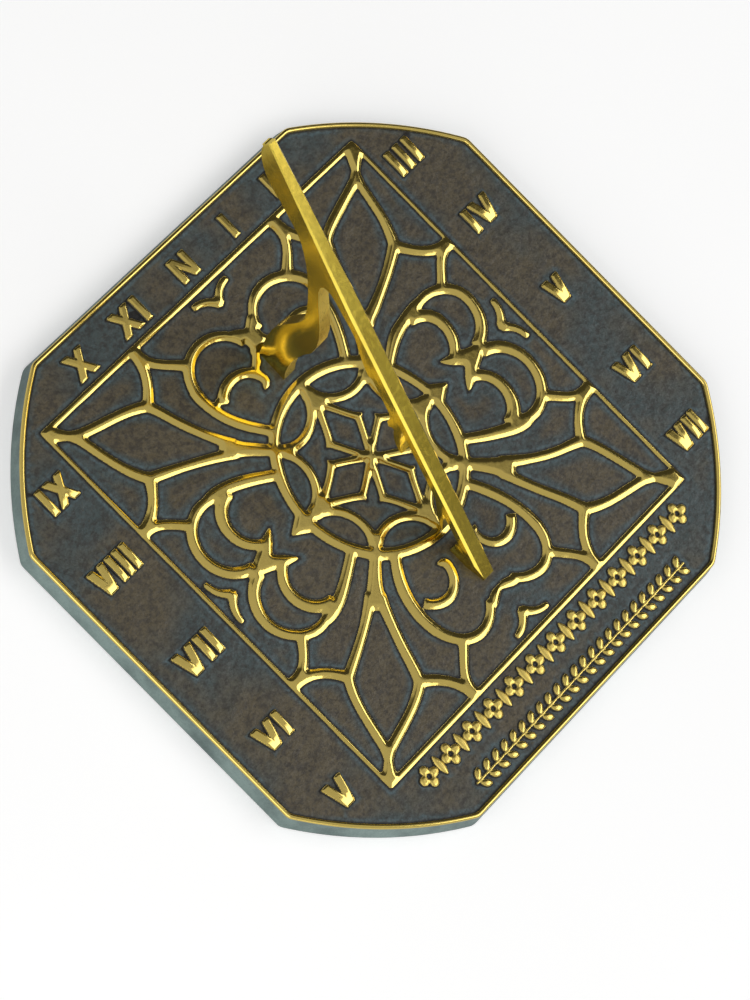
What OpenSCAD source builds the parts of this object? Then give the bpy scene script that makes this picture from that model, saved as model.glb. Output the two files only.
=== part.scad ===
// Garden sundial: a cast plate with raised gothic tracery and a cast gnomon, millimetres, +Z up.
// The origin is the centre of the underside, +Y points north and the style points at the pole.

/* [Dial plate] */
// Side of the square frame line, between line centres
frame_side = 178; // [150:1:230]
// Width of the bands west and east of the frame line, to the edge
side_band = 38; // [30:0.5:60]
// Width of the band north of the frame line, to the edge
north_band = 21.5; // [16:0.5:40]
// Width of the band south of the frame line, to the edge
south_band = 31.5; // [20:0.5:50]
// Length cut from each corner along the north and south edges
corner_cut_x = 54.5; // [40:0.5:70]
// Length cut from each corner along the west and east edges
corner_cut_y = 50; // [40:0.5:65]
// Radius of the bowed corner edges
corner_r = 164; // [110:1:400]
// Height of the plate without its relief
body_h = 7.8; // [7:0.1:14]
// Thickness of the plate above its hollow back
floor_t = 3.5; // [3:0.1:5]
// Thickness of the wall round the hollow back
skirt_t = 4.5; // [3:0.1:10]
// How far the edge spreads from the face down to the underside
edge_draft = 1.2; // [0.2:0.1:3]

/* [Relief] */
// Height of the relief above the ground of the plate
relief_h = 1.3; // [0.6:0.1:2.5]
// Width of the rim along the edge
rim_w = 2; // [1:0.1:4]
// Width of the square frame line
frame_w = 2.6; // [1.5:0.1:4]
// Width of a tracery rib at its narrowest
rib_w = 3.7; // [2.5:0.1:4.5]
// Width of the round ribs of the side lobes at their fullest
lobe_w = 4.8; // [3:0.1:6]
// Width of the hooks inside the side lobes at their fullest
hook_w = 5.2; // [3:0.1:6]

/* [Gnomon] */
// Angle of the style above the plate, the latitude of the place
style_angle = 33.7; // [29:0.1:45]
// Level distance from the toe of the style to its tip
style_reach = 166.5; // [155:0.5:172]
// Width of the style
style_w = 7.2; // [6:0.1:8.4]
// Width of the style at its tip
tip_w = 3.6; // [2.4:0.1:6]
// Depth of the style bar, square to its top
style_t = 3.8; // [3:0.1:5]
// Chamfer along both edges of the style
style_chamfer = 0.9; // [0.3:0.1:1.4]
// Thickness of the leg and of the block under the toe
leg_w = 6.4; // [5.4:0.1:8]
// Width of the style at its toe
toe_w = 5.2; // [4:0.1:6.6]
// Distance from the toe to the middle of the north foot
foot_span = 113; // [108:0.5:118]
// Width of both feet on the plate
foot_w = 7.8; // [7:0.1:12]
// Length of the north foot on the plate
foot_l = 13.4; // [11:0.1:16]
// Height of the foot's upright edge, above which it flares in to the leg
foot_h = 3.6; // [2.5:0.1:5]
// Length of the toe block
toe_l = 18.5; // [16:0.5:22]
// Thickness of the fret under the style
fret_t = 5; // [3:0.1:6]

/* [Fixings] */
// Diameter of the gnomon screws
screw_d = 4; // [3:0.1:4.4]
// Length of screw inside the gnomon
screw_bite = 5.5; // [4:0.1:6]
// Diameter of the screw heads
screw_head_d = 7.6; // [6.5:0.1:8]
// Height of the screw heads
screw_head_h = 2.4; // [1.8:0.1:2.6]
// Outer diameter of the spring washers
washer_d = 7.8; // [7:0.1:9]
// Thickness of the spring washers
washer_t = 0.9; // [0.6:0.1:1]
// Radius of the tapped hole for the pedestal rod
pedestal_hole_r = 3.4; // [2.5:0.1:5]
// Depth of the tapped hole for the pedestal rod
pedestal_hole_l = 6; // [4.5:0.1:6.2]
// Radius of the boss round the pedestal hole
pedestal_boss_r = 9; // [7:0.1:14]
// Radial clearance between a screw and the hole in the plate
screw_clear = 0.2; // [0.1:0.05:0.4]
// Radial clearance between a screw and its thread in the gnomon
thread_clear = 0.05; // [0.02:0.01:0.1]
// Clearance between the feet and the relief beside them
seat_clear = 0.4; // [0.2:0.1:1]

/* [Hidden] */

plate_w = frame_side + 2 * side_band;
plate_d = frame_side + north_band + south_band;
frame_y = (south_band - north_band) / 2;
corner_chord = norm([corner_cut_x, corner_cut_y]);
corner_sink = sqrt(corner_r * corner_r - corner_chord * corner_chord / 4);
// The tracery is drawn for a frame line of 178 mm and follows the real one
pattern = frame_side / 178;
bore_fn = 48;
arc_fn = 360;
big = 400;

// Tracery places, as distance out from the centre and distance to the side
ring_r = 37.5;
ring_w = 4.6;
lens_r = 15.7;
lens_out = 40.9;
lens_half_angle = 62;
node_r = 3.4;
broad_lobe = [63.7, 16];
broad_lobe_r = 14.8;
broad_hook = [51.8, 15.8];
broad_hook_r = 11.7;
tall_lobe = [60.3, 18.4];
tall_lobe_r = 14.3;
tall_hook = [47.2, 18.7];
tall_hook_r = 9.9;

// Gnomon places: the toe is south of the frame centre, and the rest is measured from the toe
toe_y = -63.5 * pattern;
toe_screw = toe_l - 3.8;
// The fret is drawn for a style that reaches 166.5 mm and follows the real one
fret = style_reach / 166.5;
// The leg is drawn with its fork 67.36 mm up and its tip leg_lead north of the foot
leg_lead = 53.5;
blade = 28;
blade_drop = 10.1;
fork = 46.9;
fork_drop = 12.4;
waist_z = 43;
heel_z = 20;
knee_z = 29;
taper_l = 62;
toe_cut = 1.6;
toe_taper = 8;
flange_h = 1.4;
flare_h = 9;
leg_rise = (style_z(style_reach - fork) - fork_drop) / 67.36;
boss_lift = 0.3;
relief_root = 0.2;
screw_end_gap = 0.5;
washer_split = 0.8;
slot_w = 1;
slot_depth = 1;

function style_z(a) = a * tan(style_angle);
function below(points) = [for (p = points) [p[0], style_z(p[0]) - p[1]]];
function along_fret(points) = [for (p = points) [p[0] * fret, p[1]]];

// Leans points of the leg above the heel until the tip is where the style ends
function leaned(points) = let (
    low = heel_z,
    high = style_z(style_reach - fork) - fork_drop,
    shift = style_reach - foot_span - leg_lead)
    [for (p = points) [p[0] + shift * max(0, min(1, (p[1] - low) / (high - low))), p[1]]];

// Points along a cubic curve and along an arc
function curve(p, n = 8) = [for (i = [0:n]) let (t = i / n, s = 1 - t)
    s * s * s * p[0] + 3 * s * s * t * p[1] + 3 * s * t * t * p[2] + t * t * t * p[3]];
function arc(c, r, a0, a1, n = 12) = [for (i = [0:n]) let (a = a0 + (a1 - a0) * i / n)
    c + r * [cos(a), sin(a)]];

function unit(v) = v / norm(v);
function side_at(line, i) = let (
    last = len(line) - 1,
    d = unit(line[min(i + 1, last)] - line[max(i - 1, 0)])) [-d[1], d[0]];
function swell(t, w0, wm, w1) = wm + (w0 - wm) * pow(1 - t, 3) + (w1 - wm) * pow(t, 3);

// A rib along a line of points, wm wide in the middle and w0 and w1 wide at its ends
module rib(line, w0 = rib_w, wm = rib_w, w1 = rib_w) {
    last = len(line) - 1;
    left = [for (i = [0:last]) line[i] + side_at(line, i) * swell(i / last, w0, wm, w1) / 2];
    right = [for (i = [last:-1:0]) line[i] - side_at(line, i) * swell(i / last, w0, wm, w1) / 2];
    polygon(concat(left, right));
}

module both_sides() {
    children();
    mirror([0, 1]) children();
}

// Ring of eight lens openings round the middle
module ring() {
    difference() {
        circle(ring_r + ring_w / 2, $fn = 96);
        circle(ring_r - ring_w / 2, $fn = 96);
    }
    for (a = [0:45:315]) {
        rotate(a + 22.5) rib(arc([lens_out, 0], lens_r, 180 - lens_half_angle, 180 + lens_half_angle),
            4.6, rib_w - 0.4, 4.6);
        rotate(a) translate([ring_r - 5.4, 0]) circle(node_r, $fn = 24);
    }
}

// One of the four barbed kites that meet in the middle
module kite() {
    both_sides() {
        rib(curve([[0, 0], [5, 3.2], [10.2, 6.2], [14, 8.2]], 6), 3.4, rib_w - 0.9, rib_w - 0.6);
        rib(curve([[14, 8.2], [17.5, 5.4], [21.5, 3.8], [28, 0]], 6), rib_w - 0.6, rib_w - 0.9, 3.4);
        polygon([[12.2, 7.2], [13.9, 11.4], [16, 7.2]]);
    }
}

// Half of a side's outer lobe with its hook, for the west and east sides
module broad_half() {
    rib(arc(broad_lobe, broad_lobe_r, -80, 118, 18), lobe_w, lobe_w, rib_w);
    rib(arc(broad_hook, broad_hook_r, -82, 88, 16), rib_w - 0.4, hook_w, rib_w + 1.6);
    rib(curve([[61, 30.6], [53, 31], [44, 26.6], [32.5, 19.2]]), 4.4, 5.4, rib_w + 0.6);
    polygon([[70.3, 0], [64, 3.4], [59.6, 5.2], [56, 6.8], [49.6, 8.4], [52.6, 4.4], [57.2, 0]]);
}

// Pointed cusp from the ring toward the lobes
module cusp() {
    polygon([[38, -5.4], [41.2, -3.4], [47, 0], [41.2, 3.4], [38, 5.4]]);
}

// Half of a side's outer lobe with its hook, for the north and south sides
module tall_half(lobe_start) {
    rib(arc(tall_lobe, tall_lobe_r, lobe_start, 92, 16), rib_w, lobe_w - 0.6, lobe_w);
    rib(arc(tall_hook, tall_hook_r, -92, 62, 14), rib_w, rib_w + 0.4, rib_w + 1);
    rib(curve([[63, 32.7], [52, 33.4], [43, 29.6], [31, 20.4]]), lobe_w, 4.6, rib_w + 0.6);
    polygon([[46.3, 7.2], [44.9, 9], [44.7, 12.6], [47.4, 11.2], [48.4, 8]]);
}

// Stem that runs from the lobes in to the north foot
module north_stem() {
    polygon([[66.4, 0], [69.4, 4], [70.6, 7.4], [66.4, 6.6], [63, 4.2], [57.8, 4.2], [56.8, 0]]);
    rib([[59, 3.4], [54.6, 5.2], [53.2, 8.6]], rib_w, rib_w - 1, rib_w - 1);
}

// Saddle where the two south lobes meet
module south_saddle() {
    polygon([[66.6, 0], [66.6, 3.4], [67.8, 6.8], [72.4, 7.2], [71.6, 4.6], [69, 0]]);
}

// Bird shaped bracket beside the frame line
module bracket() {
    both_sides() rib(curve([[85.2, 10], [85, 4.6], [82.8, 2.4], [79.6, 0]], 6), 2.2, 3, 4);
    polygon([[80.6, -2.2], [77.6, 0], [80.6, 2.2], [83, 0]]);
}

// Ogee ribs that carry a side's lobes to the frame line
module ogee_half() {
    rib(curve([[88.4, 38.4], [81.6, 38.4], [78.8, 34.2], [71.6, 27.4]], 6), 5.2, rib_w - 0.2, rib_w + 1);
    rib(curve([[88.4, 38.4], [80, 39.8], [75, 45], [70.6, 51]], 6), 5.2, rib_w, rib_w + 1.2);
}

// Half of a corner's petal with its stem, in the eighth turn under the diagonal
module petal_half() {
    rib(curve([[25, 25.6], [31, 29.4], [35.4, 34.6], [41, 37.2]], 6), 5, rib_w, rib_w);
    rib(curve([[38, 35.6], [49, 42.4], [59.6, 46.2], [70.8, 51]]), 5, rib_w, rib_w + 1);
    rib(curve([[70.6, 50.8], [76, 58.4], [77.4, 68.6], [80.4, 80.2]]), rib_w + 1, rib_w + 0.2, rib_w + 0.6);
    polygon([[26, 26], [38.6, 34.4], [43, 37.8], [41.6, 41.6]]);
    polygon([[88.4, 88.4], [88.4, 84.4], [83.6, 81], [80.4, 74.6], [77.8, 77.8]]);
}

module tracery() {
    ring();
    for (a = [0:90:270]) rotate(a) {
        kite();
        bracket();
        both_sides() ogee_half();
        both_sides() petal_half();
        rotate(90) mirror([1, 0]) both_sides() petal_half();
    }
    for (a = [0, 180]) rotate(a) {
        both_sides() broad_half();
        cusp();
    }
    rotate(90) both_sides() {
        tall_half(-80);
        north_stem();
    }
    rotate(-90) both_sides() {
        tall_half(-56);
        south_saddle();
    }
}

module frame_line() {
    difference() {
        square(frame_side + frame_w, center = true);
        square(frame_side - frame_w, center = true);
    }
}

// Centre of the bowed edge at the corner with the given signs
function corner_centre(s) = let (
    middle = [plate_w - corner_cut_x, plate_d - corner_cut_y] / 2,
    out = [corner_cut_y, corner_cut_x] / corner_chord,
    c = middle - out * corner_sink) [s[0] * c[0], s[1] * c[1]];

// Outline of the plate, grown by a distance
module outline(grow = 0) {
    intersection() {
        square([plate_w + 2 * grow, plate_d + 2 * grow], center = true);
        intersection_for (s = [[1, 1], [1, -1], [-1, 1], [-1, -1]])
            translate(corner_centre(s)) circle(corner_r + grow, $fn = arc_fn);
    }
}

// Bar of the given length whose sides lean in from the underside to the face
module leaning_bar(width, length) {
    rotate([90, 0, 0]) linear_extrude(length, center = true)
        polygon([[-width / 2 - edge_draft, 0], [width / 2 + edge_draft, 0],
            [width / 2, body_h], [-width / 2, body_h]]);
}

// The plate's solid body, wider at the underside by the draft
module drafted_body() {
    intersection() {
        leaning_bar(plate_w, big);
        rotate(90) leaning_bar(plate_d, big);
        intersection_for (s = [[1, 1], [1, -1], [-1, 1], [-1, -1]])
            translate(corner_centre(s))
                cylinder(r1 = corner_r + edge_draft, r2 = corner_r, h = body_h, $fn = arc_fn);
    }
}

// Plan of the two pads that the gnomon stands on
module feet_plan(grow = 0) {
    translate([0, toe_y + foot_span]) square([foot_w + 2 * grow, foot_l + 2 * grow], center = true);
    translate([0, toe_y + toe_l / 2]) square([foot_w + 2 * grow, toe_l + 2 * grow], center = true);
}

// Everything raised on the face, rooted a little way in the plate
module relief() {
    translate([0, 0, -relief_root]) linear_extrude(relief_root + relief_h) {
        difference() {
            outline();
            outline(-rim_w);
        }
        translate([0, frame_y]) difference() {
            union() {
                frame_line();
                scale([pattern, pattern]) tracery();
            }
            feet_plan(seat_clear);
        }
    }
}

module screw_places() {
    for (a = [toe_screw, foot_span]) translate([0, frame_y + toe_y + a]) children();
}

module dial_plate() {
    color("#4d4a45") difference() {
        union() {
            difference() {
                drafted_body();
                translate([0, 0, -1]) linear_extrude(body_h - floor_t + 1) outline(-skirt_t);
            }
            translate([0, frame_y, boss_lift])
                cylinder(r = pedestal_boss_r, h = body_h - floor_t, $fn = bore_fn);
        }
        translate([0, frame_y, boss_lift - 1])
            cylinder(r = pedestal_hole_r, h = pedestal_hole_l + 1, $fn = bore_fn);
        screw_places() translate([0, 0, -1]) cylinder(r = screw_d / 2 + screw_clear, h = big, $fn = bore_fn);
    }
    color("#c9b25e") translate([0, 0, body_h]) relief();
}

// Places a drawing of the gnomon's side, toe at the left, upright on the north line
module upright(thickness) {
    rotate([90, 0, 90]) linear_extrude(thickness, center = true) children();
}

// Cross section of the style bar for a given width, its top edges chamfered
module bar_section(width) {
    half = width / 2;
    c = style_chamfer * width / style_w;
    polygon([[c - half, 0], [half - c, 0], [half, c], [half, style_t], [-half, style_t], [-half, c]]);
}

// Style bar, straight from the toe and then narrowing to the tip
module style_bar() {
    slope = 1 / cos(style_angle);
    rotate([style_angle - 90, 0, 0]) {
        linear_extrude((style_reach - taper_l) * slope) bar_section(style_w);
        hull() {
            translate([0, 0, (style_reach - taper_l) * slope - 0.1]) linear_extrude(0.1) bar_section(style_w);
            translate([0, 0, style_reach * slope - 0.1]) linear_extrude(0.1) bar_section(tip_w);
        }
    }
}

// Side of the leg: the blade under the tip, down its north edge to the foot and up to the fork
module leg_side() {
    tip = style_reach;
    top = foot_span + leg_lead;
    root = [top - blade, style_z(tip - blade) - blade_drop];
    waist = [foot_span + 3.1, waist_z * leg_rise];
    heel = [foot_span + 9.2, heel_z];
    toe = foot_span + foot_l / 2;
    back = foot_span - foot_l / 2;
    knee = [foot_span - 7.2, knee_z * leg_rise];
    crotch = [top - fork, style_z(tip - fork) - fork_drop];
    polygon(concat(
        below(curve([[tip + 1.6, 3], [tip + 1.8, 11.8], [tip - 6.5, 14], [tip - 16, 11.2]])),
        leaned(concat(
            curve([root, root - [7.5, 5.3], waist + [3.3, 15 * leg_rise], waist], 8),
            curve([waist, waist - [0, 7], heel + [-0.3, 9], heel], 6),
            curve([heel, heel - [-0.2, 8], [toe + 0.8, 6], [toe, 0]], 4),
            curve([[back, 0], [back + 3.2, 7], [back + 3.6, knee[1] - 10], knee], 6),
            curve([knee, knee + [-1.3, 12 * leg_rise], crotch - [7.1, 17.3 * leg_rise],
                crotch - [0.6, 3.3]], 6),
            [crotch])),
        below([[tip - fork - 0.9, fork_drop - 2.6], [tip - fork - 2.2, fork_drop - 3.8],
            [tip - fork - 4.4, fork_drop - 5.2], [tip - fork - 7.2, fork_drop - 5.8],
            [tip - fork - 21, 4.8], [tip - fork - 21, 2], [tip, 1]])));
}

// Front of the leg, flared at the foot
module leg_front() {
    half = leg_w / 2;
    foot = foot_w / 2;
    flare = curve([[half, foot_h + flare_h], [half, foot_h + 3],
        [half + 0.2, foot_h + 1.2], [foot, foot_h]], 6);
    polygon(concat([[half, big]], flare, [[foot, 0], [-foot, 0]],
        [for (i = [len(flare) - 1:-1:0]) [-flare[i][0], flare[i][1]]], [[-half, big]]));
}

// Fret under the style: a swelling web with a lug and a cusp, then a single blade near the toe
module fret_side() {
    polygon(below(along_fret(concat([[102, 2], [102, 5.2]],
        curve([[102, 5.2], [96, 7], [91, 10.4], [85.6, 10.4]], 6),
        [[83, 8.8], [75.4, 9], [70.4, 9], [69, 10], [68.8, 13.2], [67.2, 14], [66.1, 12.2], [65, 11.4]],
        curve([[65, 11.4], [63.4, 15], [60.4, 16.4], [56.6, 14.6]], 5),
        curve([[56.6, 14.6], [60.6, 12.6], [62, 8.6], [62.8, 4.6]], 5),
        [[60, 2]]))));
    polygon(below(along_fret(concat([[40, 2], [40, 4.2]],
        curve([[40, 4.2], [35.4, 6.2], [32, 12.2], [25.7, 13]], 6),
        curve([[25.7, 13], [28.4, 8.6], [30.4, 5.6], [34, 4.6]], 4), [[35, 2]]))));
}

// Block under the toe that carries the low end of the style
module toe_side() {
    polygon([[0, 0], [toe_l, 0], [toe_l, style_z(toe_l) - 1.5], [2.2, style_z(2.2) - 1.4]]);
}

// Front of the toe block, with a sloping flange on each side
module toe_front() {
    half = leg_w / 2;
    foot = foot_w / 2;
    slope_h = flange_h + 3;
    polygon([[-foot, 0], [foot, 0], [foot, flange_h], [half, slope_h], [half, big],
        [-half, big], [-half, slope_h], [-foot, flange_h]]);
}

// Plan of the style, narrowed at its blunt toe
module toe_plan() {
    end = toe_w / 2;
    full = foot_w / 2;
    polygon([[-end, toe_cut], [end, toe_cut], [full, toe_cut + toe_taper], [full, style_reach + 9],
        [-full, style_reach + 9], [-full, toe_cut + toe_taper]]);
}

// Plan that narrows the blade of the leg to the tip
module taper_plan() {
    start = style_reach - taper_l;
    side = foot_w / 2;
    polygon([[-side, 0], [side, 0], [side, start], [leg_w / 2, start], [tip_w / 2, style_reach],
        [tip_w / 2, style_reach + 5], [-tip_w / 2, style_reach + 5], [-tip_w / 2, style_reach],
        [-leg_w / 2, start], [-side, start]]);
}

// Extrusion of a front view along the gnomon
module along(length) {
    translate([0, length, 0]) rotate([90, 0, 0]) linear_extrude(length) children();
}

module leg() {
    intersection() {
        upright(foot_w) leg_side();
        along(big) leg_front();
        linear_extrude(big) taper_plan();
    }
}

module toe_block() {
    intersection() {
        upright(foot_w) toe_side();
        along(toe_l) toe_front();
        linear_extrude(big) toe_plan();
    }
}

module gnomon() {
    color("#b08d2e") translate([0, frame_y + toe_y, body_h]) difference() {
        union() {
            intersection() {
                style_bar();
                linear_extrude(big) toe_plan();
            }
            leg();
            toe_block();
            upright(fret_t) fret_side();
        }
        for (a = [toe_screw, foot_span]) translate([0, a, -1])
            cylinder(r = screw_d / 2 + thread_clear, h = screw_bite + screw_end_gap + 1, $fn = bore_fn);
    }
}

module screw() {
    under_washer = body_h - floor_t - washer_t;
    difference() {
        union() {
            translate([0, 0, under_washer - screw_head_h])
                cylinder(d = screw_head_d, h = screw_head_h, $fn = bore_fn);
            translate([0, 0, under_washer - 0.1])
                cylinder(d = screw_d, h = floor_t + washer_t + screw_bite + 0.1, $fn = bore_fn);
        }
        translate([-screw_head_d, -slot_w / 2, under_washer - screw_head_h - 1])
            cube([2 * screw_head_d, slot_w, slot_depth + 1]);
    }
}

module gnomon_screws() {
    color("#b8a25a") screw_places() screw();
}

module gnomon_washers() {
    color("#9a9a94") screw_places() translate([0, 0, body_h - floor_t - washer_t]) difference() {
        cylinder(d = washer_d, h = washer_t, $fn = bore_fn);
        translate([0, 0, -1]) cylinder(r = screw_d / 2 + screw_clear, h = washer_t + 2, $fn = bore_fn);
        translate([0, -washer_split / 2, -1]) cube([washer_d, washer_split, washer_t + 2]);
    }
}

dial_plate();
gnomon();
gnomon_screws();
gnomon_washers();
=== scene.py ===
"""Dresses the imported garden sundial: cast brass plate, gothic tracery, hour marks and gnomon."""
import logging
import math
from collections.abc import Callable, Sequence
from dataclasses import dataclass, field
from enum import Enum

import bmesh
import bpy
import numpy as np
from mathutils import Matrix, Vector
from mathutils.geometry import delaunay_2d_cdt as cdt


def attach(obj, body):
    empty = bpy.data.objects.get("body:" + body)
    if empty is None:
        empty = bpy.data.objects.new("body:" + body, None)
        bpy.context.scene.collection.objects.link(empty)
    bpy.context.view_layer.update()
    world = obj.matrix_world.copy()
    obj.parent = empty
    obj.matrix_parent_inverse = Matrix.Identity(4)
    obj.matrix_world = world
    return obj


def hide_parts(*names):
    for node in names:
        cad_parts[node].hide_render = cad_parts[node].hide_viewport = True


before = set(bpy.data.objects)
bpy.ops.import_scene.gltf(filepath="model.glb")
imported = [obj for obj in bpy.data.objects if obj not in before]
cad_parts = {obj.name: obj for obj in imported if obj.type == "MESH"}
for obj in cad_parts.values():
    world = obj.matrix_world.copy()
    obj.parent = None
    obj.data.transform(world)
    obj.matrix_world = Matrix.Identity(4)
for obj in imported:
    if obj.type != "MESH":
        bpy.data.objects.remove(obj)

log = logging.getLogger("sundial")
logging.basicConfig(level=logging.INFO, format="%(name)s: %(message)s")

MM = 0.001
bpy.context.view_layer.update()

Socket = bpy.types.NodeSocket
Node = bpy.types.Node
Material = bpy.types.Material
Thing = bpy.types.Object
Colour = tuple[float, float, float]
Face = tuple[int, ...]
Outline = Sequence[tuple[float, float]]
Array = np.ndarray

# Height of the plate's face, and the middle of the frame line north of the plate's middle, in mm
FACE_Z = 7.8
FRAME_Y = 5.0
FRAME_MIDDLE = np.array([0.0, FRAME_Y])


class Slot(Enum):
    """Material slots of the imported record."""

    PLATE = "patinated_brass"
    GNOMON = "rubbed_brass"


# Node trees and finishes


@dataclass
class Shader:
    """Adds and joins the nodes of one material or world."""

    tree: bpy.types.NodeTree

    def put(self, socket: Socket, value: object) -> None:
        """Feeds a socket from another socket, or sets its number or colour.

        Args:
            socket: The input socket.
            value: A socket, a number or a colour.
        """
        if isinstance(value, Socket):
            self.tree.links.new(value, socket)
        else:
            socket.default_value = (*value, 1) if socket.type == "RGBA" else value

    def feed(self, node: Node, **values: object) -> Node:
        """Feeds a node's inputs and sets its properties.

        Args:
            node: The node.
            values: Input sockets by name with underscores for spaces, or node properties.

        Returns:
            The same node.
        """
        for name, value in values.items():
            socket = node.inputs.get(name.replace("_", " "))
            if socket is None:
                setattr(node, name, value)
            else:
                self.put(socket, value)
        return node

    def add(self, kind: str, **values: object) -> Node:
        """Adds a node of the kind that Blender gives this name, and feeds it."""
        return self.feed(self.tree.nodes.new(kind), **values)

    def surface(self, **values: object) -> None:
        """Feeds the material's surface shader."""
        self.feed(self.tree.nodes["Principled BSDF"], **values)

    def math(self, operation: str, *values: object) -> Socket:
        """Adds a Math node.

        Args:
            operation: Name of the operation.
            values: Numbers or sockets for its inputs.

        Returns:
            The result.
        """
        node = self.add("ShaderNodeMath", operation=operation)
        for socket, value in zip(node.inputs, values):
            self.put(socket, value)
        return node.outputs[0]

    def stray(self, value: Socket, pattern: Socket, amount: float) -> Socket:
        """Lets a value stray up and down by a pattern times an amount."""
        return self.math("ADD", value, self.math("MULTIPLY", self.math("SUBTRACT", pattern, 0.5), amount))

    def mix(self, factor: Socket, first: object, second: object) -> Socket:
        """Mixes two colours.

        Args:
            factor: 0 for the first colour and 1 for the second.
            first: Colour or socket.
            second: Colour or socket.

        Returns:
            The mixed colour.
        """
        node = self.add("ShaderNodeMix", data_type="RGBA")
        for number, value in ((0, factor), (6, first), (7, second)):
            self.put(node.inputs[number], value)
        return node.outputs[2]

    def ramp(self, value: Socket, low: float, high: float, out_low: float = 0.0,
             out_high: float = 1.0) -> Socket:
        """Maps a value smoothly from one range to another.

        Args:
            value: The value to map.
            low: Value that gives out_low.
            high: Value that gives out_high.
            out_low: Result at low and below.
            out_high: Result at high and above.

        Returns:
            The mapped value.
        """
        node = self.add("ShaderNodeMapRange", interpolation_type="SMOOTHSTEP", clamp=True, Value=value,
                        From_Min=low, From_Max=high, To_Min=out_low, To_Max=out_high)
        return node.outputs["Result"]

    def noise(self, per_metre: float, detail: float = 3.0, roughness: float = 0.55) -> Socket:
        """Adds a cloudy pattern on the object's own coordinates.

        Args:
            per_metre: Scale of the pattern.
            detail: Number of finer octaves.
            roughness: Strength of the finer octaves.

        Returns:
            The pattern's value.
        """
        place = self.add("ShaderNodeTexCoord").outputs["Object"]
        return self.add("ShaderNodeTexNoise", Vector=place, Scale=per_metre, Detail=detail,
                        Roughness=roughness).outputs["Fac"]

    def bump(self, height: Socket, deep_mm: float, strength: float = 1.0) -> Socket:
        """Normal of a surface that a pattern raises by up to a depth in mm."""
        return self.add("ShaderNodeBump", Strength=strength, Distance=deep_mm * MM, Height=height).outputs[0]


def new_material(name: str) -> tuple[Material, Shader]:
    """Makes an empty material.

    Args:
        name: Name of the material.

    Returns:
        The material and its node helper.
    """
    material = bpy.data.materials.new(name)
    material.use_nodes = True
    return material, Shader(material.node_tree)


@dataclass(frozen=True)
class Stain:
    """Colour laid over another where a cloudy pattern rises from low to high."""

    colour: Colour
    per_metre: float
    detail: float
    roughness: float
    low: float
    high: float
    strength: float = 1.0

    def over(self, s: Shader, base: object) -> Socket:
        """Lays the stain over a base colour."""
        pattern = s.noise(self.per_metre, self.detail, self.roughness)
        return s.mix(s.ramp(pattern, self.low, self.high, 0.0, self.strength), base, self.colour)


@dataclass(frozen=True)
class PolishedBrass:
    """Brass rubbed bright by hand, a little deeper in tone in places."""

    name: str
    colour: Colour
    deep: Colour
    gloss: float = 0.16
    wear: float = 0.05
    wave_mm: float = 0.02

    def make(self) -> Material:
        """Builds the material.

        Returns:
            The material.
        """
        material, s = new_material(self.name)
        worn = s.math("MULTIPLY", s.ramp(s.noise(600), 0.4, 0.75), self.wear)
        s.surface(Metallic=1.0, Base_Color=Stain(self.deep, 45, 3, 0.55, 0.35, 0.7).over(s, self.colour),
                  Roughness=s.math("ADD", self.gloss, worn), Normal=s.bump(s.noise(120, 2), self.wave_mm))
        return material


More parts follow.
